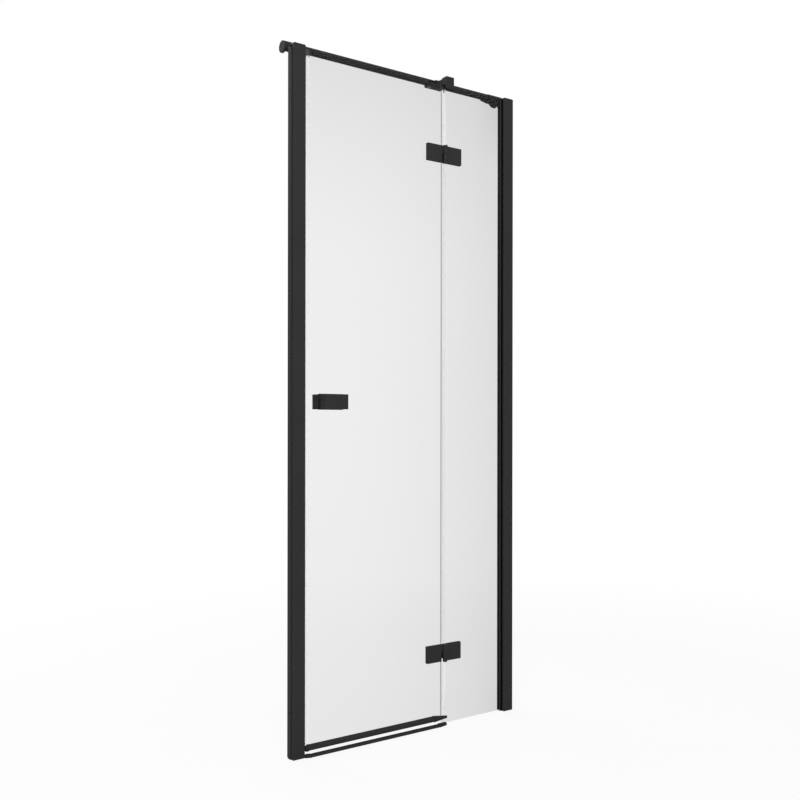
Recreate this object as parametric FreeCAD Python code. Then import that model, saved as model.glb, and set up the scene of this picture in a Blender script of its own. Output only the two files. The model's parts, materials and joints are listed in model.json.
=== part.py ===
"""Framed niche shower door: a hinged pane hung on a fixed pane, between two wall posts.

Millimetres, +Z up. X = 0 is the wall on the hinge side, and the strike wall lies at -niche_width.
Y = 0 is the middle of the glass, and -Y is the dry side that the door opens to. Z = 0 is the tray.
"""
import FreeCAD
import Part
import math
import os

V = FreeCAD.Vector

# Opening and panes
niche_width = 800.0
post_height = 1950.0
hinge_line = 275.0
glass = 6.0
pane_gap = 8.0
pane_top_drop = 4.0
fixed_pane_foot = 2.0
door_pane_foot = 12.0

# Wall channels and posts
post_width = 37.0
post_depth = 36.0
post_wall = 1.8
post_corner = 2.5
post_standoff = 3.0
channel_depth = 15.0
channel_wall = 1.6
channel_end_gap = 2.0
channel_top_gap = 6.0
slide_clearance = 0.3
wall_hole_radius = 2.5
wall_hole_insets = (125.0, 675.0)
cap_height = 4.0
cap_crown = 2.0
cap_tab_length = 10.0
cap_tab_clearance = 0.2

# Inserts in the posts
insert_width = 14.0
insert_seat = 10.0
insert_wall = 1.6
insert_clearance = 0.1
glazing_reach = 7.5
gasket_floor = 2.0
wedge_reach = 4.0
wedge_depth = 3.0
carrier_reach = 1.0
carrier_core = 3.5

# Magnets and seals
magnet_width = 7.0
magnet_thickness = 4.0
magnet_play = 0.1
magnet_gap = 0.6
seal_wall = 1.0
edge_seal_leg = 12.0
pane_seal_leg = 9.0
pane_seal_fin = 6.4
pane_seal_fin_wall = 1.2
seal_end_gap = 1.0

# Screws
fit_clearance = 0.05
small_sides = 12
head_sides = 12
lock_screw_radius = 1.75
lock_screw_head_radius = 3.5
lock_screw_head = 2.2
lock_screw_inset = 150.0
lock_screw_from_post_edge = 11.0
lock_screw_overrun = 1.5
lock_slot_length = 12.0
lock_slot_height = 4.0
grub_radius = 2.5
grub_length = 8.0
grub_seat_gap = 0.1

# Hinges
hinge_height = 52.0
hinge_inset = 218.6
leaf_width = 65.0
leaf_thickness = 8.0
leaf_corner = 4.0
leaf_edge = 0.8
back_plate_thickness = 6.0
back_plate_setback = 10.0
back_plate_height = 43.0
back_plate_gap = 3.0
leaf_gasket = 1.0
gasket_inset = 0.6
barrel_stand = 4.0
knuckle_radius = 6.5
knuckle_gap = 2.5
knuckle_end_wall = 2.0
pin_radius = 3.0
pin_end_play = 0.5
bush_wall = 1.2
bush_flange = 1.0
bush_flange_wall = 2.4
leaf_screw_radius = 2.5
leaf_screw_head_radius = 4.2
leaf_screw_head = 2.6
leaf_screw_pitch = 22.0
leaf_screw_depth = 6.0
leaf_glass_hole_radius = 6.0

# Handle
handle_width = 74.0
handle_height = 42.0
handle_depth = 31.0
handle_inside_depth = 37.0
handle_edge = 1.0
handle_inset = 45.9
handle_gasket = 1.0
handle_gasket_proud = 1.3
stud_radius = 3.0
stud_pitch = 40.0
stud_depth = 16.0
stud_glass_hole_radius = 5.0
handle_grub_radius = 2.0

# Drip rail and sweep seal on the door's foot
rail_foot = 15.5
rail_height = 14.5
rail_depth = 10.0
rail_wall = 1.6
rail_start = 7.2
rail_cap_length = 9.7
rail_cap_proud = 1.2
rail_cap_drop = 5.0
rail_nose_length = 48.0
rail_nose_past_axis = 10.2
rail_nose_stand = 7.5
rail_nose_depth = 3.7
rail_nose_height = 6.5
rail_seal_gap = 0.5
sweep_inner_leg = 12.0
sweep_lip_drop = 2.4
sweep_lip_wall = 1.2
sweep_lip_lean = 2.2

# Threshold on the tray
threshold_width = 14.0
threshold_height = 7.0
threshold_lip = 2.0
threshold_proud = 7.0
threshold_strike_cap = 16.0
threshold_hinge_cap = 28.0
threshold_cap_proud = 1.2
threshold_cap_setback = 6.0
threshold_past_hinge = 4.0

# Stabiliser bar, its wall brackets and its glass clamp
bar_radius = 10.75
bar_wall = 1.5
bar_behind = 47.0
bar_rise = 12.3
socket_wall = 0.9
socket_floor = 8.0
bar_end_gap = 0.5
rosette_radius = 16.5
rosette_drop = 5.8
rosette_thickness = 6.0
neck_radius = 13.6
neck_drop = 2.0
neck_end = 58.0
rib_end = 84.0
lug_start = 24.0
lug_foot = 9.0
lug_end = 48.0
lug_half_width = 6.0
lug_drop = 16.0
lug_edge = 2.0
clamp_inset = 2.5
clamp_width = 30.0
clamp_jaw_thickness = 8.0
clamp_pad = 1.0
clamp_grip = 10.0
clamp_above_bar_axis = 9.0
clamp_edge = 1.2
clamp_arm_inset = 1.5
clamp_arm_edge = 2.0
clamp_ring_wall = 2.6
clamp_screw_inset = 8.0
saddle_lead = 31.0
saddle_setback = 2.0
saddle_wall = 3.0
saddle_floor = 3.0
saddle_edge = 3.0
bar_slot_length = 31.0
bar_slot_height = 9.0
bar_slot_start = 1.5

# Levels and planes worked out from the sizes above
pane_top = post_height - pane_top_drop
post_top = post_height - cap_height
face = glass / 2
axis_x = -hinge_line
axis_y = -(face + leaf_gasket + leaf_thickness + barrel_stand)
hinge_levels = {"lower": hinge_inset, "upper": post_height - hinge_inset}
post_inner = post_standoff + post_width
pocket_floor = post_inner - insert_seat
bar_y = bar_behind
bar_z = post_height + bar_rise
fixed_pane_edge = axis_x + pane_gap / 2
door_pane_hinge_edge = axis_x - pane_gap / 2
carrier_tip = post_inner + carrier_reach
magnet_chamber = magnet_thickness + 2 * magnet_play
seal_tip_x = -niche_width + carrier_tip + magnet_gap
door_pane_strike_edge = seal_tip_x + seal_wall + magnet_chamber + seal_wall
rail_top = rail_foot + rail_height
clamp_foot = pane_top - clamp_grip
clamp_left = fixed_pane_edge + clamp_inset
clamp_right = clamp_left + clamp_width
sides = {"strike": (-niche_width, 1.0), "hinge": (0.0, -1.0)}

os.makedirs("parts", exist_ok=True)


def save(name, solids):
    """Write one node, a single solid or a group of alike solids."""
    shape = solids[0] if len(solids) == 1 else Part.makeCompound(solids)
    shape.exportStep("parts/" + name + ".step")


def box(x0, x1, y0, y1, z0, z1):
    return Part.makeBox(abs(x1 - x0), abs(y1 - y0), abs(z1 - z0), V(min(x0, x1), min(y0, y1), min(z0, z1)))


def rod(start, along, radius, length):
    return Part.makeCylinder(radius, length, start, along)


def peg(start, along, radius, length, sides=small_sides):
    """A small fitting or the hole that it fills, kept to a few flat sides because it is out of sight."""
    across = V(1, 0, 0)
    up = along.cross(across)
    turns = [2 * math.pi * count / sides for count in range(sides)]
    corners = [start + across * (radius * math.cos(turn)) + up * (radius * math.sin(turn)) for turn in turns]
    return Part.Face(Part.makePolygon(corners + corners[:1])).extrude(along * length)


def fuse(solids):
    return solids[0].multiFuse(solids[1:]).removeSplitter()


def cut(solid, tools):
    return solid.cut(Part.makeCompound(tools)).removeSplitter()


def rounded(solid, radius, axis):
    """Round the straight edges of a block that run along one axis."""
    edges = [edge for edge in solid.Edges if abs(edge.tangentAt(edge.FirstParameter).dot(axis)) > 0.999]
    return solid.makeFillet(radius, edges)


def side_x(side, reach):
    """X at a distance from one side's wall, measured into the opening."""
    wall, inward = sides[side]
    return wall + inward * reach


def side_box(side, u0, u1, half_y, z0, z1):
    return box(side_x(side, u0), side_x(side, u1), -half_y, half_y, z0, z1)


def rectangle_x(x, y0, y1, z0, z1):
    """A rectangle across X, as a wire."""
    corners = [V(x, y0, z0), V(x, y1, z0), V(x, y1, z1), V(x, y0, z1)]
    return Part.makePolygon(corners + corners[:1])


def drawn_in(section, x0, x1, start, end):
    """A length along X of a section, with its sides sloped from one bounding rectangle to another."""
    length = Part.Face(section).extrude(V(x1 - x0, 0, 0))
    slopes = Part.makeLoft([rectangle_x(x0, *start), rectangle_x(x1, *end)], True, True)
    return length.common(slopes).Solids[0]


def extrude_x(points, x0, x1):
    """A straight length along X of a section given as (y, z) corners."""
    corners = [V(x0, y, z) for y, z in points]
    return Part.Face(Part.makePolygon(corners + corners[:1])).extrude(V(x1 - x0, 0, 0))


# Wall channels and posts
def lock_screw_places(side):
    x = side_x(side, post_standoff + lock_screw_from_post_edge)
    return [V(x, post_depth / 2, z) for z in (lock_screw_inset, post_height - lock_screw_inset)]


def wall_channel(side):
    """A channel screwed to the wall, slotted so that the post can be set across before it is locked."""
    top = post_top - channel_top_gap
    reach = pocket_floor - post_wall - channel_end_gap
    outer = side_box(side, 0, reach, channel_depth / 2, 0, top)
    inner = side_box(side, channel_wall, reach, channel_depth / 2 - channel_wall, 0, top)
    wall, inward = sides[side]
    levels = [level for inset in wall_hole_insets for level in (inset, post_height - inset)]
    holes = [rod(V(wall, 0, level), V(inward, 0, 0), wall_hole_radius, channel_wall) for level in levels]
    slots = [box(place.x - lock_slot_length / 2, place.x + lock_slot_length / 2,
                 channel_depth / 2 - channel_wall, channel_depth / 2,
                 place.z - lock_slot_height / 2, place.z + lock_slot_height / 2)
             for place in lock_screw_places(side)]
    return cut(outer, [inner] + holes + slots)


def post(side):
    half = post_depth / 2
    outer = rounded(side_box(side, post_standoff, post_inner, half, 0, post_top), post_corner, V(0, 0, 1))
    hollow = side_box(side, post_standoff + post_wall, post_inner - post_wall, half - post_wall, 0, post_top)
    pocket_half = insert_width / 2 + insert_clearance
    pocket_wall = side_box(side, pocket_floor - post_wall, post_inner, pocket_half + post_wall, 0, post_top)
    pocket = side_box(side, pocket_floor, post_inner, pocket_half, 0, post_top)
    slot_half = channel_depth / 2 + slide_clearance
    slot = side_box(side, post_standoff, post_standoff + post_wall, slot_half, 0, post_top)
    shell = fuse([cut(outer, [hollow]), pocket_wall])
    holes = [peg(place, V(0, -1, 0), lock_screw_radius + fit_clearance, post_wall)
             for place in lock_screw_places(side)]
    return cut(shell, [pocket, slot] + holes)


def post_cap(side):
    """A bevelled cap that seats on the post's end, with two tabs inside its front and back chambers."""
    crown = side_box(side, post_standoff, post_inner, post_depth / 2, post_top, post_height)
    corners = [edge for edge in crown.Edges if edge.BoundBox.ZLength > fit_clearance]
    crown = crown.makeChamfer(post_corner * (2 - math.sqrt(2)), corners)
    rim = [edge for edge in crown.Edges if edge.BoundBox.ZMin > post_height - fit_clearance]
    crown = crown.makeChamfer(cap_crown, rim)
    near = channel_depth / 2 + slide_clearance + cap_tab_clearance
    far = post_depth / 2 - post_wall - cap_tab_clearance
    left = side_x(side, post_standoff + post_wall + cap_tab_clearance)
    right = side_x(side, pocket_floor - post_wall - channel_end_gap)
    tabs = [box(left, right, sign * near, sign * far, post_top - cap_tab_length, post_top)
            for sign in (-1, 1)]
    return fuse([crown] + tabs)


def lock_screws(side):
    screws = []
    reach = post_depth / 2 - channel_depth / 2 + channel_wall + lock_screw_overrun
    for place in lock_screw_places(side):
        head = peg(place, V(0, 1, 0), lock_screw_head_radius, lock_screw_head, head_sides)
        screws.append(fuse([head, peg(place, V(0, -1, 0), lock_screw_radius, reach)]))
    return screws


for side, post_name in (("strike", "strike_post"), ("hinge", "fixed_pane_post")):
    save(side + "_wall_channel", [wall_channel(side)])
    save(post_name, [post(side)])
    save(post_name + "_cap", [post_cap(side)])
    save(post_name + "_screws", lock_screws(side))


# Magnet carrier in the strike post
def magnet_carrier():
    body = side_box("strike", pocket_floor, carrier_tip, insert_width / 2, 0, post_top)
    core_start = pocket_floor + insert_wall
    core_half = insert_width / 2 - insert_wall
    core = side_box("strike", core_start, core_start + carrier_core, core_half, 0, post_top)
    groove = side_box("strike", carrier_tip - magnet_thickness, carrier_tip,
                      magnet_width / 2 + magnet_play, 0, post_top)
    return cut(body, [core, groove])


save("strike_magnet_carrier", [magnet_carrier()])
save("strike_magnet", [side_box("strike", carrier_tip - magnet_thickness, carrier_tip,
                                magnet_width / 2, 0, post_top)])


# Glazing profile and gasket in the other post
glazing_tip = post_inner + glazing_reach
gasket_back = pocket_floor + insert_wall
pane_wall_edge = side_x("hinge", gasket_back + gasket_floor)
gasket_half = insert_width / 2 - insert_wall

glazing = cut(side_box("hinge", pocket_floor, glazing_tip, insert_width / 2, 0, post_top),
              [side_box("hinge", gasket_back, glazing_tip, gasket_half, 0, post_top)])
save("glazing_profile", [glazing])
gasket = cut(side_box("hinge", gasket_back, glazing_tip, gasket_half, fixed_pane_foot, pane_top),
             [side_box("hinge", gasket_back + gasket_floor, glazing_tip, face, fixed_pane_foot, pane_top)])
save("glazing_gasket", [gasket])

# Wedge gasket on the dry side, in the corner between the post and the glazing profile
wedge_x = side_x("hinge", post_inner)
wedge_y = -insert_width / 2
wedge_corners = [V(wedge_x, wedge_y, 0), V(wedge_x, wedge_y - wedge_depth, 0),
                 V(side_x("hinge", post_inner + wedge_reach), wedge_y, 0)]
wedge = Part.Face(Part.makePolygon(wedge_corners + wedge_corners[:1])).extrude(V(0, 0, post_top))
save("fixed_pane_post_gasket", [wedge])


# Panes
def leaf_screw_places(leaf, level):
    """Screw axes of one hinge leaf, at the middle of its back plate."""
    sign = -1 if leaf == "door" else 1
    x = axis_x + sign * (leaf_width - back_plate_setback + back_plate_gap / 2) / 2
    return [V(x, 0, level + end * leaf_screw_pitch / 2) for end in (-1, 1)]


handle_left = door_pane_strike_edge + handle_inset
handle_x = handle_left + handle_width / 2
handle_z = post_height / 2
stud_places = [V(handle_x + end * stud_pitch / 2, 0, handle_z) for end in (-1, 1)]


def pane(x0, x1, foot, leaf):
    sheet = box(x0, x1, -face, face, foot, pane_top)
    places = [place for level in hinge_levels.values() for place in leaf_screw_places(leaf, level)]
    holes = [peg(V(place.x, -face, place.z), V(0, 1, 0), leaf_glass_hole_radius, glass) for place in places]
    if leaf == "door":
        for place in stud_places:
            holes.append(peg(V(place.x, -face, place.z), V(0, 1, 0), stud_glass_hole_radius, glass))
    return cut(sheet, holes)


save("fixed_pane", [pane(fixed_pane_edge, pane_wall_edge, fixed_pane_foot, "fixed")])
save("door_pane", [pane(door_pane_strike_edge, door_pane_hinge_edge, door_pane_foot, "door")])
save("fixed_pane_bedding", [box(fixed_pane_edge, side_x("hinge", glazing_tip + seal_end_gap),
                                -face, face, 0, fixed_pane_foot)])


# Clear seals on the upright edges of the panes
def pane_edge_seal(z0, z1):
    """A clip on the fixed pane's free edge, with a fin that closes most of the gap beside the door."""
    half = face + seal_wall
    back = fixed_pane_edge - seal_wall
    clip = cut(box(back, fixed_pane_edge + pane_seal_leg, -half, half, z0, z1),
               [box(fixed_pane_edge, fixed_pane_edge + pane_seal_leg, -face, face, z0, z1)])
    fin = box(back - pane_seal_fin, back, -pane_seal_fin_wall / 2, pane_seal_fin_wall / 2, z0, z1)
    return fuse([clip, fin])


seal_breaks = [fixed_pane_foot]
for name in ("lower", "upper"):
    seal_breaks += [hinge_levels[name] - hinge_height / 2 - seal_end_gap,
                    hinge_levels[name] + hinge_height / 2 + seal_end_gap]
seal_breaks.append(clamp_foot - seal_end_gap)
seal_lengths = zip(seal_breaks[0::2], seal_breaks[1::2])
save("fixed_pane_edge_seal", [pane_edge_seal(z0, z1) for z0, z1 in seal_lengths])


def door_edge_seal(z0, z1):
    """A clip on the door pane's closing edge, with a closed chamber for the magnet."""
    chamber_half = magnet_width / 2 + magnet_play + seal_wall
    chamber = box(seal_tip_x, door_pane_strike_edge, -chamber_half, chamber_half, z0, z1)
    clip = box(door_pane_strike_edge - seal_wall, door_pane_strike_edge + edge_seal_leg,
               -face - seal_wall, face + seal_wall, z0, z1)
    hollow = box(seal_tip_x + seal_wall, seal_tip_x + seal_wall + magnet_chamber,
                 -magnet_width / 2 - magnet_play, magnet_width / 2 + magnet_play, z0, z1)
    grip = box(door_pane_strike_edge, door_pane_strike_edge + edge_seal_leg, -face, face, z0, z1)
    return cut(fuse([chamber, clip]), [hollow, grip])


edge_seal_foot = rail_top + rail_cap_proud + rail_seal_gap
save("door_edge_seal", [door_edge_seal(edge_seal_foot, pane_top)])
magnet_x = seal_tip_x + seal_wall + magnet_play
save("door_magnet", [box(magnet_x, magnet_x + magnet_thickness, -magnet_width / 2, magnet_width / 2,
                         edge_seal_foot, pane_top)])


# Hinges
def leaf_span(leaf):
    """The sign of a leaf's side of the hinge line, and its outer edge."""
    sign = -1 if leaf == "door" else 1
    return sign, axis_x + sign * leaf_width


def knuckle_levels(leaf, level):
    """The door leaf carries the upper knuckle and the fixed leaf the lower one."""
    if leaf == "door":
        return level + bush_flange / 2, level + hinge_height / 2
    return level - hinge_height / 2, level - bush_flange / 2


def front_leaf(leaf, level):
    """The plate on the dry face of the glass, with an arm to its half of the barrel."""
    sign, outer_x = leaf_span(leaf)
    low, high = level - hinge_height / 2, level + hinge_height / 2
    front, back = -face - leaf_gasket - leaf_thickness, -face - leaf_gasket
    near_x = axis_x + sign * (knuckle_radius + knuckle_gap)
    knuckle_low, knuckle_high = knuckle_levels(leaf, level)
    length = knuckle_high - knuckle_low
    plate = fuse([box(outer_x, near_x, front, back, low, high),
                  box(near_x, axis_x, front, back, knuckle_low, knuckle_high)])
    rim = [edge for edge in plate.Edges if edge.BoundBox.YMax < front + fit_clearance
           and abs(edge.CenterOfMass.x - axis_x) > fit_clearance]
    plate = plate.makeChamfer(leaf_edge, rim)
    outer = box(outer_x, axis_x, front, back, low, high)
    corners = [edge for edge in outer.Edges if edge.BoundBox.YLength > fit_clearance
               and abs(edge.CenterOfMass.x - outer_x) < fit_clearance]
    plate = plate.common(outer.makeFillet(leaf_corner, corners))
    barrel = rod(V(axis_x, axis_y, knuckle_low), V(0, 0, 1), knuckle_radius, length)
    body = fuse([plate, barrel])
    foot = V(axis_x, axis_y, knuckle_low)
    depth = length - knuckle_end_wall
    pin_bore = pin_radius + fit_clearance
    if leaf == "door":
        bore = peg(foot, V(0, 0, 1), pin_bore + bush_wall + fit_clearance, depth)
    else:
        bore = rod(foot + V(0, 0, knuckle_end_wall), V(0, 0, 1), pin_bore, depth)
    holes = [peg(V(place.x, back - leaf_screw_depth, place.z), V(0, 1, 0),
                 leaf_screw_radius + fit_clearance, leaf_screw_depth)
             for place in leaf_screw_places(leaf, level)]
    return cut(body, [bore] + holes)


def back_plate(leaf, level):
    sign, outer_x = leaf_span(leaf)
    near_x = axis_x + sign * back_plate_gap / 2
    far_x = outer_x - sign * back_plate_setback
    front = face + leaf_gasket
    back = front + back_plate_thickness
    half = back_plate_height / 2
    plate = box(far_x, near_x, front, back, level - half, level + half)
    corners = [edge for edge in plate.Edges if edge.BoundBox.YLength > fit_clearance]
    plate = plate.makeChamfer(leaf_corner / 2, corners)
    holes = []
    for place in leaf_screw_places(leaf, level):
        holes.append(peg(V(place.x, front, place.z), V(0, 1, 0), leaf_screw_radius + fit_clearance,
                         back_plate_thickness))
        holes.append(peg(V(place.x, back - leaf_screw_head, place.z), V(0, 1, 0),
                         leaf_screw_head_radius + fit_clearance, leaf_screw_head, head_sides))
    return cut(plate, holes)


def leaf_gaskets(leaf, level):
    """A soft pad in front of the glass and one behind it, each with a window for the screws."""
    sign, outer_x = leaf_span(leaf)
    near_x = axis_x + sign * (knuckle_radius + knuckle_gap + gasket_inset)
    screw_x = leaf_screw_places(leaf, level)[0].x
    window_half = leaf_screw_pitch / 2 + leaf_glass_hole_radius
    gaskets = []
    for y0, setback, height in ((-face - leaf_gasket, 0, hinge_height),
                                (face, back_plate_setback, back_plate_height)):
        far_x = outer_x - sign * (setback + gasket_inset)
        half = height / 2 - gasket_inset
        sheet = box(far_x, near_x, y0, y0 + leaf_gasket, level - half, level + half)
        window = box(screw_x - leaf_glass_hole_radius, screw_x + leaf_glass_hole_radius,
                     y0, y0 + leaf_gasket, level - window_half, level + window_half)
        gaskets.append(cut(sheet, [window]))
    return gaskets


def leaf_screws(leaf, level):
    screws = []
    back = face + leaf_gasket + back_plate_thickness
    length = back + face + leaf_gasket + leaf_screw_depth
    for place in leaf_screw_places(leaf, level):
        start = place + V(0, back, 0)
        shank = peg(start, V(0, -1, 0), leaf_screw_radius, length)
        head = peg(start, V(0, -1, 0), leaf_screw_head_radius, leaf_screw_head, head_sides)
        screws.append(fuse([shank, head]))
    return screws


def hinge_pin(level):
    foot = level - hinge_height / 2 + knuckle_end_wall
    head = level + hinge_height / 2 - knuckle_end_wall - pin_end_play
    return rod(V(axis_x, axis_y, foot), V(0, 0, 1), pin_radius, head - foot)


def hinge_bush(level):
    """A flanged bush with flat sides in the door leaf's knuckle, which it carries on the lower knuckle."""
    top = level + hinge_height / 2 - knuckle_end_wall - pin_end_play
    seat = level + bush_flange / 2
    foot = level - bush_flange / 2 + fit_clearance
    inner = pin_radius + fit_clearance
    sleeve = peg(V(axis_x, axis_y, seat), V(0, 0, 1), inner + bush_wall, top - seat)
    flange = rod(V(axis_x, axis_y, foot), V(0, 0, 1), inner + bush_flange_wall, seat - foot)
    hole = rod(V(axis_x, axis_y, foot), V(0, 0, 1), inner, top - foot)
    return cut(fuse([sleeve, flange]), [hole])


for name, level in hinge_levels.items():
    for leaf in ("door", "fixed"):
        save(name + "_hinge_" + leaf + "_leaf", [front_leaf(leaf, level)])
        save(name + "_hinge_" + leaf + "_back_plate", [back_plate(leaf, level)])
        save(name + "_hinge_" + leaf + "_gaskets", leaf_gaskets(leaf, level))
        save(name + "_hinge_" + leaf + "_screws", leaf_screws(leaf, level))
    save(name + "_hinge_pin", [hinge_pin(level)])
    save(name + "_hinge_bush", [hinge_bush(level)])


# Handle
handle_seat = face + handle_gasket


def handle_block(sign, depth):
    """One block of the pair; sign is -1 on the dry side and 1 on the wet side."""
    seat_y = sign * handle_seat
    body = box(handle_left, handle_left + handle_width, seat_y, seat_y + sign * depth,
               handle_z - handle_height / 2, handle_z + handle_height / 2)
    outer_edges = [edge for edge in body.Edges if abs(edge.CenterOfMass.y - seat_y) > fit_clearance]
    body = body.makeChamfer(handle_edge, outer_edges)
    holes = []
    for place in stud_places:
        bore = V(place.x, seat_y, handle_z)
        holes.append(peg(bore, V(0, sign, 0), stud_radius + fit_clearance, stud_depth))
        holes.append(peg(bore + V(0, sign * stud_depth / 2, 0), V(0, 0, -1),
                         handle_grub_radius + fit_clearance, handle_height / 2))
    return cut(body, holes)


def handle_pads():
    """Soft pads between the blocks and the glass, each with a window for the studs."""
    pads = []
    x0, x1 = handle_left - handle_gasket_proud, handle_left + handle_width + handle_gasket_proud
    half = handle_height / 2 + handle_gasket_proud
    reach = stud_pitch / 2 + stud_glass_hole_radius
    for y0 in (-handle_seat, face):
        y1 = y0 + handle_gasket
        window = box(handle_x - reach, handle_x + reach, y0, y1,
                     handle_z - stud_glass_hole_radius, handle_z + stud_glass_hole_radius)
        pads.append(cut(box(x0, x1, y0, y1, handle_z - half, handle_z + half), [window]))
    return pads


def handle_grubs():
    top = handle_z - stud_radius - grub_seat_gap
    places = [(place.x, sign * (handle_seat + stud_depth / 2)) for place in stud_places for sign in (-1, 1)]
    return [peg(V(x, y, top - grub_length), V(0, 0, 1), handle_grub_radius, grub_length) for x, y in places]


save("handle_outside", [handle_block(-1, handle_depth)])
save("handle_inside", [handle_block(1, handle_inside_depth)])
save("handle_gaskets", handle_pads())
save("handle_studs", [peg(V(place.x, -handle_seat - stud_depth, place.z), V(0, 1, 0), stud_radius,
                          2 * (handle_seat + stud_depth)) for place in stud_places])
save("handle_grub_screws", handle_grubs())


# Drip rail, its ends and the sweep seal
def rail_outline(x, depth, foot, top):
    """A drip section on the door's dry face: upright back, rounded shoulder, upright nose."""
    back = -face
    front = back - depth
    shoulder = foot + (top - foot) * 0.45
    middle = V(x, front + depth * 0.2, foot + (top - foot) * 0.84)
    start, end = V(x, back, top), V(x, front, shoulder)
    arc = Part.Arc(start, middle, end).toShape()
    lines = Part.makePolygon([end, V(x, front, foot), V(x, back, foot), start])
    return Part.Wire([arc] + lines.Edges)


rail_left = door_pane_strike_edge + rail_start
nose_tip = axis_x + rail_nose_past_axis
rail_right = nose_tip - rail_nose_length


def drip_rail():
    section = rail_outline(rail_left, rail_depth, rail_foot, rail_top)
    body = Part.Face(section).extrude(V(rail_right - rail_left, 0, 0))
    hollow = extrude_x([(-face - rail_wall, rail_foot), (-face - rail_wall, rail_top - 3 * rail_wall),
                        (-face - rail_depth + rail_wall, rail_foot + rail_height * 0.38),
                        (-face - rail_depth + rail_wall, rail_foot)], rail_left, rail_right)
    return cut(body, [hollow])


def rail_ends():
    """A cap that slopes off at the closing edge, and a nose that tapers to a tip beside the hinge."""
    foot, top = rail_foot - rail_cap_proud, rail_top + rail_cap_proud
    depth = rail_depth + rail_cap_proud
    full = (-face - depth, -face, foot, top)
    cap_end = (-face - rail_depth, -face, foot, top - rail_cap_drop)
    cap = drawn_in(rail_outline(rail_left, depth, foot, top), rail_left,
                   rail_left - rail_cap_length, full, cap_end)
    middle = (foot + top) / 2
    half = rail_nose_height / 2
    back = -face - rail_nose_stand
    tip = (back - rail_nose_depth, back, middle - half, middle + half)
    nose = drawn_in(rail_outline(rail_right, depth, foot, top), rail_right, nose_tip, full, tip)
    return [cap, nose]


def sweep_seal():
    """A clip on the door pane's foot with a lip that leans to the wet side and clears the threshold."""
    web = door_pane_foot - seal_wall
    half = face + seal_wall
    outer_top = rail_foot - rail_cap_proud - rail_seal_gap
    points = [(-half, web), (0, web), (sweep_lip_lean, web - sweep_lip_drop),
              (sweep_lip_lean + sweep_lip_wall, web - sweep_lip_drop), (sweep_lip_wall, web), (half, web),
              (half, door_pane_foot + sweep_inner_leg), (face, door_pane_foot + sweep_inner_leg),
              (face, door_pane_foot), (-face, door_pane_foot), (-face, outer_top), (-half, outer_top)]
    return extrude_x(points, door_pane_strike_edge, door_pane_hinge_edge)


save("door_drip_rail", [drip_rail()])
save("door_drip_rail_ends", rail_ends())
save("door_sweep_seal", [sweep_seal()])


# Threshold
def threshold_span(proud):
    """Front, back and top of the strip, or of an end piece that stands proud of it."""
    front = -post_depth / 2 - threshold_proud
    return front - proud, front + threshold_width + proud, threshold_height + proud


def threshold_section(x, proud):
    """A ramp that rises from a low front lip to a crest near its back."""
    front, back, top = threshold_span(proud)
    crest = V(x, back - threshold_lip, top)
    rise = V(x, front, threshold_lip)
    middle = V(x, front + (back - front) * 0.4, top * 0.86)
    arc = Part.Arc(rise, middle, crest).toShape()
    lines = Part.makePolygon([crest, V(x, back, top - threshold_lip), V(x, back, 0), V(x, front, 0), rise])
    return Part.Wire([arc] + lines.Edges)


def threshold_cap(inner_x, outer_x):
    """An end piece a little larger than the strip, drawn back towards its free end."""
    front, back, top = threshold_span(threshold_cap_proud)
    return drawn_in(threshold_section(inner_x, threshold_cap_proud), inner_x, outer_x,
                    (front, back, 0, top), (front + threshold_cap_setback, back, 0, top))


threshold_left = side_x("strike", post_inner)
threshold_right = axis_x + threshold_past_hinge
strip_left = threshold_left + threshold_strike_cap
strip_right = threshold_right - threshold_hinge_cap
strip = Part.Face(threshold_section(strip_left, 0)).extrude(V(strip_right - strip_left, 0, 0))
save("threshold_strip", [strip])
save("threshold_end_caps", [threshold_cap(strip_left, threshold_left),
                            threshold_cap(strip_right, threshold_right)])


# Stabiliser bar and wall brackets
bar_underside = bar_z - bar_radius


def bracket_drum(u0, u1, radius, drop):
    return rod(V(side_x("strike", u0), bar_y, bar_z - drop), V(1, 0, 0), radius, u1 - u0)


def bracket_lug():
    """A lug for the grub screw, which runs out as a rib under the neck and the bar."""
    low = bar_underside - lug_drop
    top = bar_underside
    neck_foot = bar_z - neck_drop - neck_radius - socket_wall
    corners = [(lug_start, top), (lug_start, low), (lug_start + lug_foot, low), (lug_end, neck_foot),
               (neck_end, neck_foot), (rib_end, top - socket_wall), (rib_end, top)]
    points = [V(side_x("strike", u), bar_y - lug_half_width, z) for u, z in corners]
    lug = Part.Face(Part.makePolygon(points + points[:1])).extrude(V(0, 2 * lug_half_width, 0))
    edges = [edge for edge in lug.Edges
             if edge.BoundBox.YLength < fit_clearance and edge.BoundBox.ZMax < low + fit_clearance]
    return lug.makeChamfer(lug_edge, edges)


def grub_place(side):
    return V(side_x(side, lug_start + lug_foot / 2), bar_y, bar_underside - grub_seat_gap)


def bar_bracket():
    """The strike wall's bracket; the hinge wall has its mirror image."""
    body = fuse([bracket_drum(0, rosette_thickness, rosette_radius, rosette_drop),
                 bracket_drum(rosette_thickness, neck_end, neck_radius, neck_drop), bracket_lug()])
    socket = rod(V(side_x("strike", socket_floor), bar_y, bar_z), V(1, 0, 0), bar_radius + fit_clearance,
                 rib_end - socket_floor)
    screw_hole = peg(grub_place("strike"), V(0, 0, -1), grub_radius + fit_clearance, 2 * rosette_radius)
    return cut(body, [socket, screw_hole])


saddle_left = clamp_left - saddle_lead
bar_start = side_x("strike", socket_floor + bar_end_gap)
bar_length = niche_width - 2 * (socket_floor + bar_end_gap)


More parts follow.
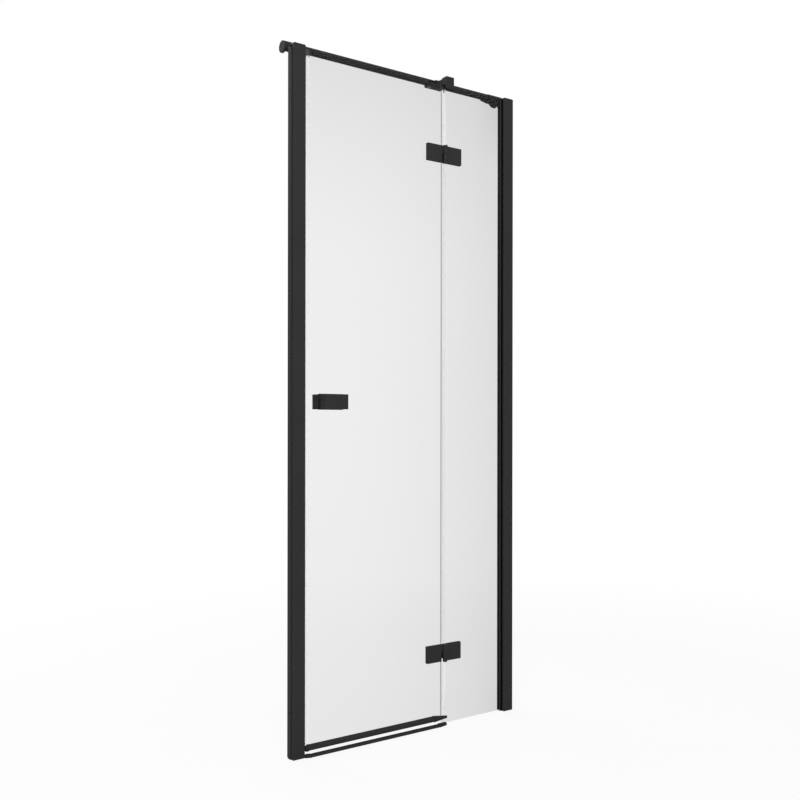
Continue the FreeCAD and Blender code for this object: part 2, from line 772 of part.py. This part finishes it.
def stabiliser_bar():
    """A round tube with a slot in its dry side, along which the glass clamp is set."""
    tube = cut(rod(V(bar_start, bar_y, bar_z), V(1, 0, 0), bar_radius, bar_length),
               [rod(V(bar_start, bar_y, bar_z), V(1, 0, 0), bar_radius - bar_wall, bar_length)])
    slot_x = saddle_left + bar_slot_start
    slot = box(slot_x, slot_x + bar_slot_length, bar_y - bar_radius, bar_y,
               bar_z - bar_slot_height / 2, bar_z + bar_slot_height / 2)
    return cut(tube, [slot])


save("stabiliser_bar", [stabiliser_bar()])
strike_bracket = bar_bracket()
save("strike_bar_bracket", [strike_bracket])
save("hinge_bar_bracket", [strike_bracket.mirror(V(-niche_width / 2, 0, 0), V(1, 0, 0))])


# Glass clamp that ties the fixed pane to the bar
clamp_jaw = face + clamp_pad
clamp_back = clamp_jaw + clamp_jaw_thickness
saddle_screw_place = V(saddle_left + saddle_lead / 4, bar_y, bar_underside - grub_seat_gap)
clamp_screw_places = [V(x, clamp_jaw, (clamp_foot + pane_top) / 2)
                      for x in (clamp_left + clamp_screw_inset, clamp_right - clamp_screw_inset)]


def clamp_body():
    """A block over the pane's top edge, an arm back to a ring on the bar, and a saddle under the bar."""
    block = box(clamp_left, clamp_right, -clamp_back, clamp_back, clamp_foot, bar_z + clamp_above_bar_axis)
    block = block.makeChamfer(clamp_edge, block.Edges)
    half = bar_radius + saddle_wall
    low = bar_underside - saddle_floor
    arm_top = bar_z + clamp_above_bar_axis - clamp_arm_inset
    arm = box(clamp_left + clamp_arm_inset, clamp_right - clamp_arm_inset, 0, bar_y, low, arm_top)
    arm_edges = [edge for edge in arm.Edges if edge.BoundBox.YLength > fit_clearance]
    arm = arm.makeChamfer(clamp_arm_edge, arm_edges)
    ring = rod(V(clamp_left + clamp_arm_inset, bar_y, bar_z), V(1, 0, 0), bar_radius + clamp_ring_wall,
               clamp_width - 2 * clamp_arm_inset)
    saddle_top = bar_z - bar_slot_height / 2
    saddle = box(saddle_left, clamp_right - saddle_setback, bar_y - half, bar_y + half, low, saddle_top)
    under_edges = [edge for edge in saddle.Edges
                   if edge.BoundBox.ZMax < low + fit_clearance and edge.BoundBox.XLength > saddle_edge]
    saddle = saddle.makeFillet(saddle_edge, under_edges)
    bed_length = saddle_lead + clamp_width
    bed = rod(V(saddle_left, bar_y, bar_z), V(1, 0, 0), bar_radius + fit_clearance, bed_length)
    mouth = box(clamp_left, clamp_right, -clamp_jaw, clamp_jaw, clamp_foot, pane_top + clamp_pad)
    holes = [peg(place, V(0, 1, 0), grub_radius + fit_clearance, clamp_jaw_thickness)
             for place in clamp_screw_places]
    holes.append(peg(saddle_screw_place, V(0, 0, -1), grub_radius + fit_clearance, saddle_floor))
    return cut(fuse([block, arm, ring, saddle]), [bed, mouth] + holes)


def clamp_lining():
    """A soft channel between the clamp's jaws and the glass."""
    outer = box(clamp_left, clamp_right, -clamp_jaw, clamp_jaw, clamp_foot, pane_top + clamp_pad)
    return cut(outer, [box(clamp_left, clamp_right, -face, face, clamp_foot, pane_top)])


save("bar_glass_clamp", [clamp_body()])
save("bar_glass_clamp_pad", [clamp_lining()])
save("bar_glass_clamp_screws", [peg(place, V(0, 1, 0), grub_radius, clamp_jaw_thickness)
                                for place in clamp_screw_places])
bar_grubs = [peg(grub_place(side), V(0, 0, -1), grub_radius, grub_length) for side in sides]
bar_grubs.append(peg(saddle_screw_place, V(0, 0, -1), grub_radius, saddle_floor - grub_seat_gap))
save("bar_grub_screws", bar_grubs)
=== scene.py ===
import json
import math

import bmesh
import bpy
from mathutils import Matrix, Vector


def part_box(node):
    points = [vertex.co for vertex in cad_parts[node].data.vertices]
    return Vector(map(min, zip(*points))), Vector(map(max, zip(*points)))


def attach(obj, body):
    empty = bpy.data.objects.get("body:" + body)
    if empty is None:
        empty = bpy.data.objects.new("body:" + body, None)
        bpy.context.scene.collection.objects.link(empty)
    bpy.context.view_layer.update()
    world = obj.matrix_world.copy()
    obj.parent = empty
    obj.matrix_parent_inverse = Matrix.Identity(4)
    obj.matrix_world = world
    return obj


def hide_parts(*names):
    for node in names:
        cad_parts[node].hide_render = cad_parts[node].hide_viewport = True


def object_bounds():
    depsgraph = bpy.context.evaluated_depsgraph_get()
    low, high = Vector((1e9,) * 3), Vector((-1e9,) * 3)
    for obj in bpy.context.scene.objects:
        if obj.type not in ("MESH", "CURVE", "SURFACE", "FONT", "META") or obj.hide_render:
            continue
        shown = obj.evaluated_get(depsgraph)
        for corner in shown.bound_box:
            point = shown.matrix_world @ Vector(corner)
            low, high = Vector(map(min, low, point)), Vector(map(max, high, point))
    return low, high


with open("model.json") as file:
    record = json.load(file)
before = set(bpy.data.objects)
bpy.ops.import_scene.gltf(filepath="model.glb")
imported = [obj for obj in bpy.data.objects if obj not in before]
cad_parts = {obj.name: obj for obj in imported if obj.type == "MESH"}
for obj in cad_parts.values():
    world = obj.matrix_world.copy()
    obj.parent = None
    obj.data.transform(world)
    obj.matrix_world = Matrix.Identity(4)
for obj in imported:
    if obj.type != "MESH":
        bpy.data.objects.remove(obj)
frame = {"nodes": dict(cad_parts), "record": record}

cad_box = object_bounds()
MM = 0.001

# Camera, found from the posts' edges in the photograph
CAMERA_PLACE = (-2.0234, -2.2610, 0.9210)
CAMERA_TURN = 35.145
CAMERA_ROLL = 0.07
CAMERA_LENS = 42.18
CAMERA_SENSOR = 36.0
CAMERA_SHIFT = 0.0265

# Lamps, each with its place, size and power, turned to the middle of the door
LAMP_TARGET = (-0.4, 0.0, 1.0)
LAMPS = {"key": ((-2.2, -3.0, 3.4), (2.2, 2.2), 90.0),
         "fill": ((-3.2, -0.8, 1.6), (2.0, 2.0), 4.0),
         "back": ((-0.6, 2.8, 3.2), (2.5, 1.5), 40.0)}
WORLD_STRENGTH = 0.45

# Floor: near the door this share of it is plain white to the eye, and the rest shows the shadow;
# between the two distances the share grows to 1
FLOOR_TONE = (0.9, 0.9, 0.9)
FLOOR_ROUGHNESS = 0.9
FLOOR_REACH = 14.0
FLOOR_DROP = 0.5 * MM
FLOOR_WHITE = 0.88
FLOOR_FADE = (1.0, 2.6)

# Finishes, as linear colours
BLACK_COAT = (0.033, 0.033, 0.0345)
BLACK_MOULDED = (0.030, 0.030, 0.0312)
GASKET_BLACK = (0.026, 0.026, 0.027)
# painted shade: near black, for rubber deep in recesses
SHADE_BLACK = (0.0012, 0.0012, 0.0012)
MAGNET_SHEATH = (0.72, 0.72, 0.71)
BRIGHT_STEEL = (0.52, 0.52, 0.53)
BLACK_NYLON = (0.040, 0.040, 0.042)
PANE_LIGHT = (0.862, 0.864, 0.864)
# painted shade: the panes' tint towards the hinge wall, the top and the foot
PANE_PAINTED_SHADE = (0.545, 0.547, 0.547)
# painted shade on the panes' ground edges
EDGE_SHADE_GREY = (0.05, 0.052, 0.052)
SEAL_MILK = (0.80, 0.805, 0.805)
# painted shade of the seal's lip in the gap beside the fixed pane
LIP_SHADE_GREY = (0.25, 0.252, 0.252)

# The grain of surfaces that more than one finish has
RUBBER = {"roughness": 0.7, "spread": 0.08, "grain": 600.0, "mottle": 0.3, "bump": 0.3}
CLEAR_EXTRUSION = {"roughness": 0.3, "spread": 0.1, "grain": 300.0, "mottle": 0.1, "bump": 0.05,
                   "specular": 0.2}
GROUND_FACE = {"roughness": 0.6, "spread": 0.1, "grain": 1500.0, "mottle": 0.3, "bump": 0.2,
               "specular": 0.1}
GRAIN_DEPTH = 0.15 * MM

# How much of its own body a thin clear face shows, which for the seal's lip and the panes' edges is how
# strongly their painted shade shows, and a low index, because the panes in the photograph mirror next to
# nothing
SEAL_BODY = 0.02
LIP_BODY = 0.17
DOOR_EDGE_BODY = 0.60
FIXED_EDGE_BODY = 0.12
PANE_INDEX = 1.15
PANE_WIPE = 0.012

# Where painted shade darkens the panes' tint: an axis, a start and an end as shares of the door's size along
# it, and a power. A span also has its weight, and whether it is kept to the strip beside the hinge wall
BESIDE_WALL = ("X", 0.79, 0.95, 1.5)
PAINTED_SHADE_SPANS = ((("X", 0.06, 0.95, 2.0), 0.435, False),
              (("Z", 0.68, 1.0, 1.5), 0.40, False),
              (("Z", 0.45, 0.0, 1.5), 0.11, False),
              (("Z", 0.88, 1.0, 1.0), 0.95, True),
              (("Z", 0.15, 0.0, 1.0), 0.25, True))
TINT_DRIFT = 0.04

# Ground edges of the panes
PANE_ARRIS = 0.7 * MM
WELD_REACH = 0.01 * MM
FLAT_ANGLE = math.radians(1.0)
CORNER_ANGLE = 1.0
LONG_EDGE = 150.0 * MM
ACROSS_SHARE = 0.9
FACE_ON = 0.9
LEVEL = 0.5
CLIP_WALL = 1.1 * MM

# Socket screws
HEAD_SIDES = 36
SHANK_SIDES = 24
SOCKET_SIDES = 6
CROWN_SHARE = 0.92
SOCKET_SHARE = 0.52
SOCKET_DEPTH = 1.6 * MM
HINGE_SCREW = {"head": 2.6 * MM, "shank_radius": 2.5 * MM, "finish": "plain_steel"}
LOCK_SCREW = {"head": 2.2 * MM, "shank_radius": 1.75 * MM, "finish": "black_coated_metal"}
HANDLE_GRUB_RADIUS = 2.0 * MM
FACING = {"+Y": (-math.pi / 2, 0.0, 0.0), "-Z": (math.pi, 0.0, 0.0)}

# Columns, column width and row height of the nodes in a tree
NODE_GRID = (6, 240.0, 320.0)


# Nodes
def feed(tree, socket, value):
    """Link an input to another node's output, or set its own value."""
    if isinstance(value, bpy.types.NodeSocket):
        tree.links.new(value, socket)
    else:
        socket.default_value = value


def add_node(tree, kind, **values):
    """A node in the next place of the tree's grid, with its settings and then its inputs by name."""
    columns, width, height = NODE_GRID
    row, column = divmod(len(tree.nodes), columns)
    node = tree.nodes.new(kind)
    node.location = (column * width, -row * height)
    for name, value in values.items():
        if hasattr(node, name):
            setattr(node, name, value)
        else:
            feed(tree, node.inputs[name.replace("_", " ")], value)
    return node


def add_math(tree, operation, *values):
    """The result of a maths node."""
    node = add_node(tree, "ShaderNodeMath", operation=operation)
    for socket, value in zip(node.inputs, values):
        feed(tree, socket, value)
    return node.outputs[0]


def add_mix(tree, data_type, share, first, second):
    """A blend of two colours or numbers."""
    node = add_node(tree, "ShaderNodeMix", data_type=data_type, Factor=share, A=first, B=second)
    return node.outputs["Result"]


def add_noise(tree, place, **values):
    return add_node(tree, "ShaderNodeTexNoise", Vector=place, **values).outputs["Fac"]


def object_place(tree):
    return add_node(tree, "ShaderNodeTexCoord").outputs["Object"]


def show_blend(tree, output, share, first, second):
    """Send a blend of two shaders to the tree's output."""
    mixed = add_node(tree, "ShaderNodeMixShader", Fac=share)
    tree.links.new(first.outputs[0], mixed.inputs[1])
    tree.links.new(second.outputs[0], mixed.inputs[2])
    tree.links.new(mixed.outputs[0], tree.nodes[output].inputs["Surface"])


def new_group(name, kind, inputs, outputs):
    """An empty node group, with what it is given and the inputs of its result."""
    tree = bpy.data.node_groups.new(name, kind)
    for way, sockets in (("INPUT", inputs), ("OUTPUT", outputs)):
        for label, socket in sockets.items():
            tree.interface.new_socket(label, in_out=way, socket_type="NodeSocket" + socket)
    return tree, add_node(tree, "NodeGroupInput").outputs, add_node(tree, "NodeGroupOutput").inputs


# Shader groups
def coat_grain_group():
    """The fine orange-peel of a coated or moulded surface, with a faint drift of tone over its length."""
    tree, given, result = new_group(
        "coat_grain", "ShaderNodeTree",
        {"Color": "Color", "Mottle": "Float", "Grain Scale": "Float", "Roughness": "Float",
         "Spread": "Float"},
        {"Color": "Color", "Roughness": "Float", "Height": "Float"})
    place = object_place(tree)
    grain = add_noise(tree, place, Scale=given["Grain Scale"], Detail=3.0, Roughness=0.55)
    drift = add_noise(tree, place, Scale=7.0, Detail=2.0)
    centred = add_math(tree, "SUBTRACT", add_math(tree, "ADD", grain, drift), 1.0)
    tone = add_math(tree, "MULTIPLY_ADD", centred, given["Mottle"], 1.0)
    shade = add_node(tree, "ShaderNodeVectorMath", operation="SCALE", Vector=given["Color"], Scale=tone)
    rough = add_math(tree, "MULTIPLY_ADD", centred, given["Spread"], given["Roughness"])
    feed(tree, result["Color"], shade.outputs[0])
    feed(tree, result["Roughness"], rough)
    feed(tree, result["Height"], grain)
    return tree


def clear_tint_and_shade_group():
    """A clear sheet's tint with a faint random drift, painted shade that darkens it towards the hinge wall,
    the top and the foot, and its wipe marks.
    """
    tree, given, result = new_group(
        "clear_tint_and_painted_shade", "ShaderNodeTree",
        {"Light": "Color", "Deep": "Color", "Wipe Roughness": "Float"},
        {"Color": "Color", "Roughness": "Float"})
    place = object_place(tree)
    axes = add_node(tree, "ShaderNodeSeparateXYZ", Vector=place).outputs
    low, high = (dict(zip("XYZ", corner)) for corner in cad_box)

    def ramp(axis, start, end, power):
        """0 to 1 between two shares of the door's size, bent by a power."""
        start, end = (low[axis] + share * (high[axis] - low[axis]) for share in (start, end))
        span = add_node(tree, "ShaderNodeMapRange", Value=axes[axis], From_Min=start, From_Max=end)
        return add_math(tree, "POWER", span.outputs[0], power)

    beside_wall = ramp(*BESIDE_WALL)
    shade_share = add_math(tree, "MULTIPLY", add_noise(tree, place, Scale=2.2, Detail=1.0), TINT_DRIFT)
    # painted shade: each span darkens the tint towards its end
    for span, weight, only_beside_wall in PAINTED_SHADE_SPANS:
        part = add_math(tree, "MULTIPLY", ramp(*span), weight)
        if only_beside_wall:
            part = add_math(tree, "MULTIPLY", part, beside_wall)
        shade_share = add_mix(tree, "FLOAT", part, shade_share, 1.0)
    wipe = add_noise(tree, place, Scale=14.0, Detail=4.0, Distortion=1.5)
    feed(tree, result["Color"], add_mix(tree, "RGBA", shade_share, given["Light"], given["Deep"]))
    feed(tree, result["Roughness"], add_math(tree, "MULTIPLY", wipe, given["Wipe Roughness"]))
    return tree


COAT_GRAIN = coat_grain_group()
CLEAR_TINT_AND_SHADE = clear_tint_and_shade_group()


# Materials
def new_material(name):
    material = bpy.data.materials.new(name)
    material.use_nodes = True
    return material, material.node_tree, material.node_tree.nodes["Principled BSDF"]


def coated(name, color, roughness, spread, grain, mottle, bump, metallic=0.0, specular=0.5, body=1.0):
    """A finish with grain in its tone, gloss and relief; body under 1 leaves it partly see-through."""
    material, tree, surface = new_material(name)
    surface.inputs["Metallic"].default_value = metallic
    surface.inputs["Specular IOR Level"].default_value = specular
    surface.inputs["Alpha"].default_value = body
    skin = add_node(tree, "ShaderNodeGroup", node_tree=COAT_GRAIN, Color=(*color, 1.0), Mottle=mottle,
                    Grain_Scale=grain, Roughness=roughness, Spread=spread).outputs
    relief = add_node(tree, "ShaderNodeBump", Strength=bump, Distance=GRAIN_DEPTH, Height=skin["Height"])
    feed(tree, surface.inputs["Base Color"], skin["Color"])
    feed(tree, surface.inputs["Roughness"], skin["Roughness"])
    feed(tree, surface.inputs["Normal"], relief.outputs["Normal"])
    return material


def clear(name, light, painted_shade, wipe, index):
    """A see-through finish that lets lamp light through to what stands behind it."""
    material, tree, surface = new_material(name)
    surface.inputs["Transmission Weight"].default_value = 1.0
    surface.inputs["IOR"].default_value = index
    # the tint group paints shade onto the pane towards the hinge wall, the top and the foot
    tint = add_node(tree, "ShaderNodeGroup", node_tree=CLEAR_TINT_AND_SHADE, Light=(*light, 1.0),
                    Deep=(*painted_shade, 1.0), Wipe_Roughness=wipe).outputs
    feed(tree, surface.inputs["Base Color"], tint["Color"])
    feed(tree, surface.inputs["Roughness"], tint["Roughness"])
    ray = add_node(tree, "ShaderNodeLightPath").outputs
    passing = add_math(tree, "MAXIMUM", ray["Is Shadow Ray"], ray["Is Diffuse Ray"])
    through = add_node(tree, "ShaderNodeBsdfTransparent", Color=(*light, 1.0))
    show_blend(tree, "Material Output", passing, surface, through)
    return material


def shaded_lip_seal(name):
    """A clear clip, and a soft lip in the gap beside the pane's edge, painted a darker grey that shows more
    of its body, as painted shade of the gap.
    """
    material = coated(name, SEAL_MILK, **CLEAR_EXTRUSION)
    tree = material.node_tree
    surface = tree.nodes["Principled BSDF"].inputs
    milk = surface["Base Color"].links[0].from_socket
    axes = add_node(tree, "ShaderNodeSeparateXYZ", Vector=object_place(tree)).outputs
    # painted shade: darker grey and more body in the gap
    in_shaded_gap = add_math(tree, "LESS_THAN", axes["X"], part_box("fixed_pane")[0][0] - CLIP_WALL)
    feed(tree, surface["Base Color"], add_mix(tree, "RGBA", in_shaded_gap, milk, (*LIP_SHADE_GREY, 1.0)))
    feed(tree, surface["Alpha"], add_mix(tree, "FLOAT", in_shaded_gap, SEAL_BODY, LIP_BODY))
    return material


# One finish for each material slot of the record
FINISHES = {
    "black_coated_metal": coated("black_powder_coat", BLACK_COAT, roughness=0.5, spread=0.08, grain=1400.0,
                                 mottle=0.2, bump=0.25, specular=0.03),
    "black_plastic": coated("black_moulding", BLACK_MOULDED, roughness=0.42, spread=0.06, grain=900.0,
                            mottle=0.2, bump=0.2, specular=0.03),
    "soft_gasket": coated("gasket_black", GASKET_BLACK, specular=0.05, **RUBBER),
    "magnet_strip": coated("sheathed_magnet", MAGNET_SHEATH, roughness=0.55, spread=0.1, grain=500.0,
                           mottle=0.1, bump=0.3),
    "plain_steel": coated("bright_steel", BRIGHT_STEEL, roughness=0.3, spread=0.1, grain=1800.0,
                          mottle=0.15, bump=0.12, metallic=1.0),
    "bush_plastic": coated("black_nylon", BLACK_NYLON, roughness=0.5, spread=0.06, grain=700.0,
                           mottle=0.15, bump=0.15, specular=0.1),
    # the glass's tint carries painted shade towards the hinge wall, the top and the foot
    "clear_glass": clear("toughened_glass", PANE_LIGHT, PANE_PAINTED_SHADE, PANE_WIPE, PANE_INDEX),
    "clear_seal": coated("clear_seal", SEAL_MILK, body=SEAL_BODY, **CLEAR_EXTRUSION),
}

# The ground edges of the panes carry a near-black see-through film of painted shade: the door pane's upright
# ones show most of it. Level edges, and the fixed pane's under the clip of its seal, show only a little of it
BARE_EDGE_SHADE = coated("bare_glass_edge_shade", EDGE_SHADE_GREY, body=DOOR_EDGE_BODY, **GROUND_FACE)
CLIPPED_EDGE_SHADE = coated("clipped_glass_edge_shade", EDGE_SHADE_GREY, body=FIXED_EDGE_BODY, **GROUND_FACE)

# Nodes that look different from the rest of their slot; the gasket by the fixed pane's post and the clamp's
# pad are near black, darker than rubber is, as painted shade of their recesses
SHADE_RUBBER = coated("shaded_black_rubber", SHADE_BLACK, specular=0.01, **RUBBER)
OWN_FINISHES = {"fixed_pane_edge_seal": shaded_lip_seal("shaded_lip_seal"), "fixed_pane_post_gasket": SHADE_RUBBER,
                "bar_glass_clamp_pad": SHADE_RUBBER}


def dress_frame():
    """Each solid in the finish of its slot, or in its own."""
    for entry in frame["record"]["subparts"]:
        node = frame["nodes"][entry["node"]]
        finish = OWN_FINISHES.get(entry["node"], FINISHES[entry["material_slot"]])
        if not node.material_slots:
            node.data.materials.append(finish)
        for slot in node.material_slots:
            slot.material = finish


def node_corners(node_name):
    low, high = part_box(node_name)
    return Vector(low), Vector(high)


def link_object(name, data):
    holder = bpy.data.objects.new(name, data)
    bpy.context.collection.objects.link(holder)
    return holder


# Glass panes with ground edges
def arrised_pane(node_name, body, upright_edge):
    """The pane with a fine flat ground along each of its long edges, as cut glass has."""
    mesh = bpy.data.meshes.new(node_name + "_ground")
    shape = bmesh.new()
    shape.from_mesh(frame["nodes"][node_name].data)
    bmesh.ops.remove_doubles(shape, verts=shape.verts, dist=WELD_REACH)
    bmesh.ops.dissolve_limit(shape, angle_limit=FLAT_ANGLE, verts=shape.verts, edges=shape.edges)
    low, high = node_corners(node_name)

    def at_an_end(edge):
        """Whether an edge runs across the glass at the pane's top or foot."""
        return edge.calc_length() > ACROSS_SHARE * (high.y - low.y) and all(
            min(abs(vert.co.z - end) for end in (low.z, high.z)) < PANE_ARRIS for vert in edge.verts)

    rim = [edge for edge in shape.edges if (edge.calc_length() > LONG_EDGE or at_an_end(edge))
           and edge.is_manifold and edge.calc_face_angle() > CORNER_ANGLE]
    bmesh.ops.bevel(shape, geom=rim, offset=PANE_ARRIS, segments=1, affect="EDGES", clamp_overlap=True)
    bmesh.ops.recalc_face_normals(shape, faces=shape.faces)
    for side in shape.faces:
        face_on, level = abs(side.normal.y) > FACE_ON, abs(side.normal.z) > LEVEL
        side.material_index = 0 if face_on else 2 if level else 1
    shape.to_mesh(mesh)
    shape.free()
    pane = link_object(node_name + "_ground", mesh)
    # the edge faces take a near-black see-through film of painted shade
    for finish in (FINISHES["clear_glass"], upright_edge, CLIPPED_EDGE_SHADE):
        mesh.materials.append(finish)
    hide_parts(node_name)
    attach(pane, body)


# Socket screws
def screw_tree():
    """Screws with a hexagon socket, one on each point of the mesh, driven in along the turned -Z."""
    sizes = ("Head Radius", "Head Height", "Socket Radius", "Socket Depth", "Shank Radius", "Shank Length")
    tree, given, result = new_group(
        "socket_screws", "GeometryNodeTree",
        {"Geometry": "Geometry", **dict.fromkeys(sizes, "Float"), "Turn": "Rotation", "Finish": "Material"},
        {"Geometry": "Geometry"})

    def raised(mesh, height):
        """A mesh moved along Z."""
        way = add_node(tree, "ShaderNodeCombineXYZ", Z=height).outputs[0]
        return add_node(tree, "GeometryNodeTransform", Geometry=mesh, Translation=way).outputs[0]

    crown = add_math(tree, "MULTIPLY", given["Head Radius"], CROWN_SHARE)
    head = add_node(tree, "GeometryNodeMeshCone", Vertices=HEAD_SIDES, Radius_Top=crown,
                    Radius_Bottom=given["Head Radius"], Depth=given["Head Height"])
    head_foot = add_math(tree, "MULTIPLY", given["Head Height"], -1.0)
    twice = add_math(tree, "MULTIPLY", given["Socket Depth"], 2.0)
    socket = add_node(tree, "GeometryNodeMeshCylinder", Vertices=SOCKET_SIDES,
                      Radius=given["Socket Radius"], Depth=twice)
    bored = add_node(tree, "GeometryNodeMeshBoolean", operation="DIFFERENCE",
                     Mesh_1=raised(head.outputs["Mesh"], head_foot), Mesh_2=socket.outputs["Mesh"])
    shank = add_node(tree, "GeometryNodeMeshCylinder", Vertices=SHANK_SIDES,
                     Radius=given["Shank Radius"], Depth=given["Shank Length"])
    shank_middle = add_math(tree, "MULTIPLY_ADD", given["Shank Length"], -0.5, head_foot)
    screw = add_node(tree, "GeometryNodeJoinGeometry")
    for part in (bored.outputs["Mesh"], raised(shank.outputs["Mesh"], shank_middle)):
        tree.links.new(part, screw.inputs[0])
    places = add_node(tree, "GeometryNodeMeshToPoints", Mesh=given["Geometry"])
    set_in = add_node(tree, "GeometryNodeInstanceOnPoints", Points=places.outputs[0],
                      Instance=screw.outputs[0], Rotation=given["Turn"])
    real = add_node(tree, "GeometryNodeRealizeInstances", Geometry=set_in.outputs[0])
    finished = add_node(tree, "GeometryNodeSetMaterial", Geometry=real.outputs[0], Material=given["Finish"])
    feed(tree, result["Geometry"], finished.outputs[0])
    return tree


SCREW_TREE = screw_tree()


def screws(node_name, body, places, facing, head, shank, finish):
    """Screws at the given head centres; head and shank are (radius, length) pairs."""
    name = node_name + "_socket"
    seeds = bpy.data.meshes.new(name + "_places")
    seeds.from_pydata([Vector(place) for place in places], [], [])
    maker = link_object(name + "_places", seeds)
    modifier = maker.modifiers.new("screws", "NODES")
    modifier.node_group = SCREW_TREE
    values = {"Head Radius": head[0], "Head Height": head[1], "Socket Radius": SOCKET_SHARE * head[0],
              "Socket Depth": SOCKET_DEPTH, "Shank Radius": shank[0], "Shank Length": shank[1],
              "Turn": FACING[facing], "Finish": FINISHES[finish]}
    for item in SCREW_TREE.interface.items_tree:
        if item.in_out == "INPUT" and item.name in values:
            modifier[item.identifier] = values[item.name]
    bpy.context.view_layer.update()
    made = maker.evaluated_get(bpy.context.evaluated_depsgraph_get())
    mesh = bpy.data.meshes.new_from_object(made)
    mesh.name = name
    bpy.data.objects.remove(maker)
    piece = link_object(name, mesh)
    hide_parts(node_name)
    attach(piece, body)


def end_screws(node_name, body, head, shank_radius, finish):
    """Two screws let into the wet side, at the top and the foot of their node."""
    low, high = node_corners(node_name)
    radius = (high.x - low.x) / 2
    x = (low.x + high.x) / 2
    places = [(x, high.y, low.z + radius), (x, high.y, high.z - radius)]
    screws(node_name, body, places, "+Y", (radius, head), (shank_radius, high.y - low.y - head), finish)


def hinge_screws():
    """Two through screws in each leaf, with their heads let into the back plate."""
    for hinge in ("upper", "lower"):
        for leaf, body in (("door", "door"), ("fixed", "frame")):
            end_screws(f"{hinge}_hinge_{leaf}_screws", body, **HINGE_SCREW)


def post_screws():
    """The screws that lock each post to its wall channel, on the wet side."""
    for node_name in ("strike_post_screws", "fixed_pane_post_screws"):
        end_screws(node_name, "frame", **LOCK_SCREW)


def grub_screws():
    """Headless screws in the handle blocks and the clamp's back jaw, each half head and half shank."""
    low, high = node_corners("handle_grub_screws")
    inset = HANDLE_GRUB_RADIUS
    places = [(x, y, low.z) for x in (low.x + inset, high.x - inset) for y in (low.y + inset, high.y - inset)]
    half = (HANDLE_GRUB_RADIUS, (high.z - low.z) / 2)
    screws("handle_grub_screws", "door", places, "-Z", half, half, "plain_steel")
    low, high = node_corners("bar_glass_clamp_screws")
    radius = (high.z - low.z) / 2
    places = [(x, high.y, (low.z + high.z) / 2) for x in (low.x + radius, high.x - radius)]
    half = (radius, (high.y - low.y) / 2)
    screws("bar_glass_clamp_screws", "frame", places, "+Y", half, half, "plain_steel")


# Stage
def white_to_the_eye(tree):
    """1 for rays that show the background: straight, mirrored or through glass."""
    ray = add_node(tree, "ShaderNodeLightPath").outputs
    direct = add_math(tree, "MAXIMUM", ray["Is Camera Ray"], ray["Is Glossy Ray"])
    return add_math(tree, "MAXIMUM", direct, ray["Is Transmission Ray"])


def floor():
    """A wide pale floor that fades to plain white away from the door."""
    mesh = bpy.data.meshes.new("floor")
    reach = FLOOR_REACH
    level = cad_box[0][2] - FLOOR_DROP
    mesh.from_pydata([(-reach, -reach, level), (reach, -reach, level), (reach, reach, level),
                      (-reach, reach, level)], [], [(0, 1, 2, 3)])
    plane = link_object("floor", mesh)
    material, tree, surface = new_material("pale_floor")
    surface.inputs["Base Color"].default_value = (*FLOOR_TONE, 1.0)
    surface.inputs["Roughness"].default_value = FLOOR_ROUGHNESS
    away = add_node(tree, "ShaderNodeVectorMath", operation="LENGTH", Vector=object_place(tree))
    fade = add_node(tree, "ShaderNodeMapRange", Value=away.outputs["Value"], From_Min=FLOOR_FADE[0],
                    From_Max=FLOOR_FADE[1], To_Min=FLOOR_WHITE)
    share = add_math(tree, "MULTIPLY", white_to_the_eye(tree), fade.outputs[0])
    show_blend(tree, "Material Output", share, surface, add_node(tree, "ShaderNodeEmission"))
    mesh.materials.append(material)


def studio_world():
    """An even light that is plain white to the eye."""
    world = bpy.data.worlds.new("studio")
    bpy.context.scene.world = world
    world.use_nodes = True
    tree = world.node_tree
    white = (1.0, 1.0, 1.0, 1.0)
    dim = tree.nodes["Background"]
    dim.inputs["Color"].default_value = white
    dim.inputs["Strength"].default_value = WORLD_STRENGTH
    bright = add_node(tree, "ShaderNodeBackground", Color=white)
    show_blend(tree, "World Output", white_to_the_eye(tree), dim, bright)


def lamp(name, place, size, power):
    """A soft lamp that is itself out of sight, also through the glass."""
    light = bpy.data.lights.new(name, "AREA")
    light.shape = "RECTANGLE"
    light.size, light.size_y = size
    light.energy = power
    holder = link_object(name, light)
    holder.location = place
    holder.rotation_euler = (Vector(LAMP_TARGET) - Vector(place)).to_track_quat("-Z", "Y").to_euler()
    holder.visible_camera = False
    holder.visible_transmission = False


def camera():
    data = bpy.data.cameras.new("camera")
    data.sensor_width = CAMERA_SENSOR
    data.lens = CAMERA_LENS
    data.shift_y = CAMERA_SHIFT
    holder = link_object("camera", data)
    holder.location = CAMERA_PLACE
    holder.rotation_euler = (math.pi / 2, -math.radians(CAMERA_ROLL), -math.radians(CAMERA_TURN))
    bpy.context.scene.camera = holder


bpy.context.scene.view_settings.view_transform = "Standard"
dress_frame()
arrised_pane("door_pane", "door", BARE_EDGE_SHADE)
arrised_pane("fixed_pane", "frame", CLIPPED_EDGE_SHADE)
hinge_screws()
post_screws()
grub_screws()
floor()
studio_world()
for lamp_name, settings in LAMPS.items():
    lamp(lamp_name, *settings)
camera()
